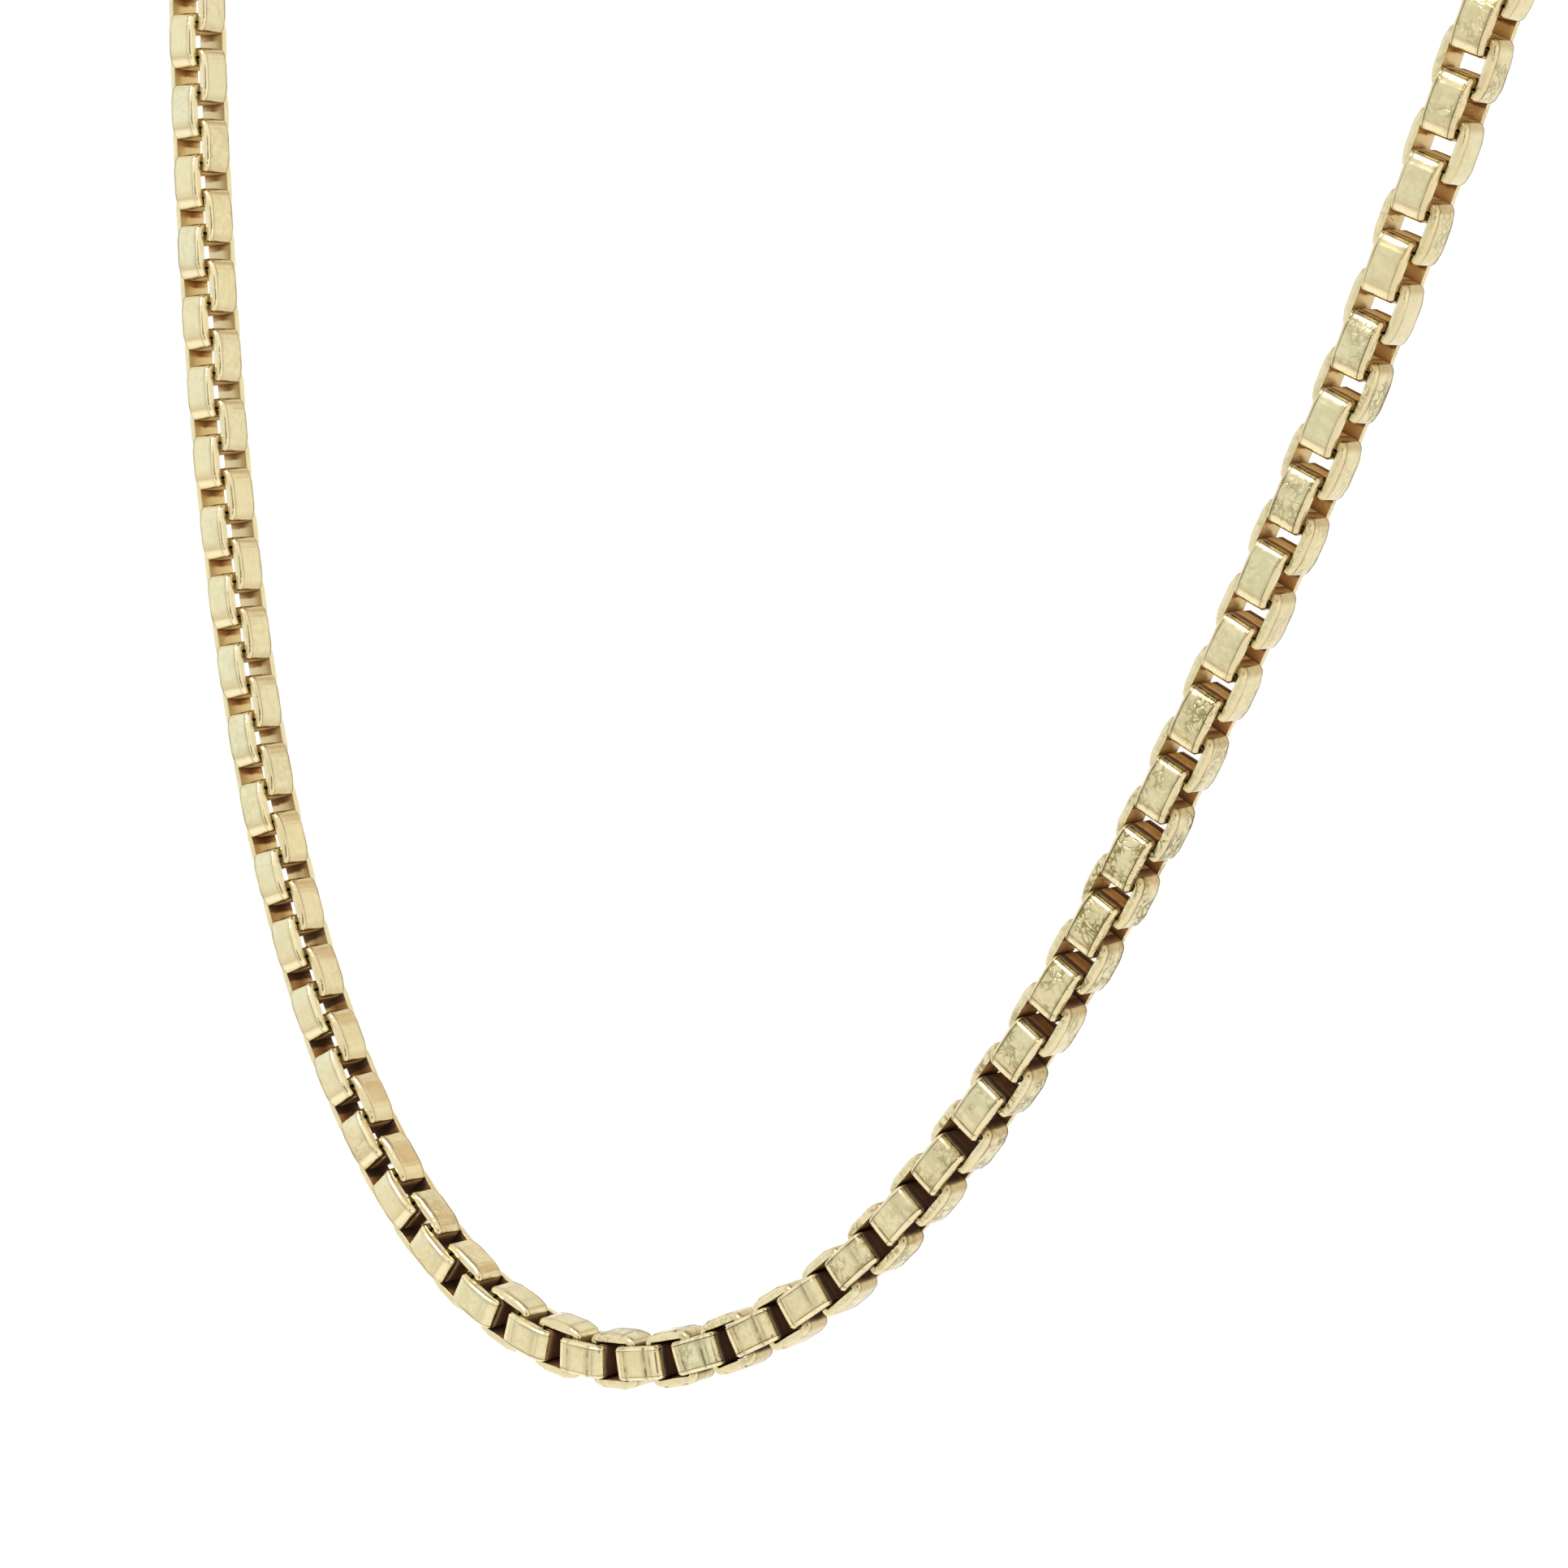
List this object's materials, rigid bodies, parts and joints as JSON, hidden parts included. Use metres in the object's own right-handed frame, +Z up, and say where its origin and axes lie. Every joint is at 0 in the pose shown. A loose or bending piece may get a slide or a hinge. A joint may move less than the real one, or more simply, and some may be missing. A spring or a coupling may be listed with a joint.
{
  "type": "box chain necklace",
  "caption": "Neck chain of square box links bent from flat strip, each turned a quarter turn from the next, closed at the nape by two rings and a plain clasp, in its worn drape.",
  "frame": {"origin": "middle of the clasp at the nape, on its face turned to the neck", "axes": "+Z up, -Y to the wearer's front where the chain drapes, +Y back, +X to the right as seen from the front"},
  "size_m": [0.1178, 0.1185, 0.1498],
  "materials": {
    "chain_gold": "14 karat yellow gold, rolled and tumbled, polished with fine wear",
    "finding_gold": "14 karat yellow gold, polished"
  },
  "bodies": {
    "root": {"chain": "chain_gold", "end_ring_left": "finding_gold", "end_ring_right": "finding_gold", "clasp": "finding_gold"}
  },
  "joints": []
}
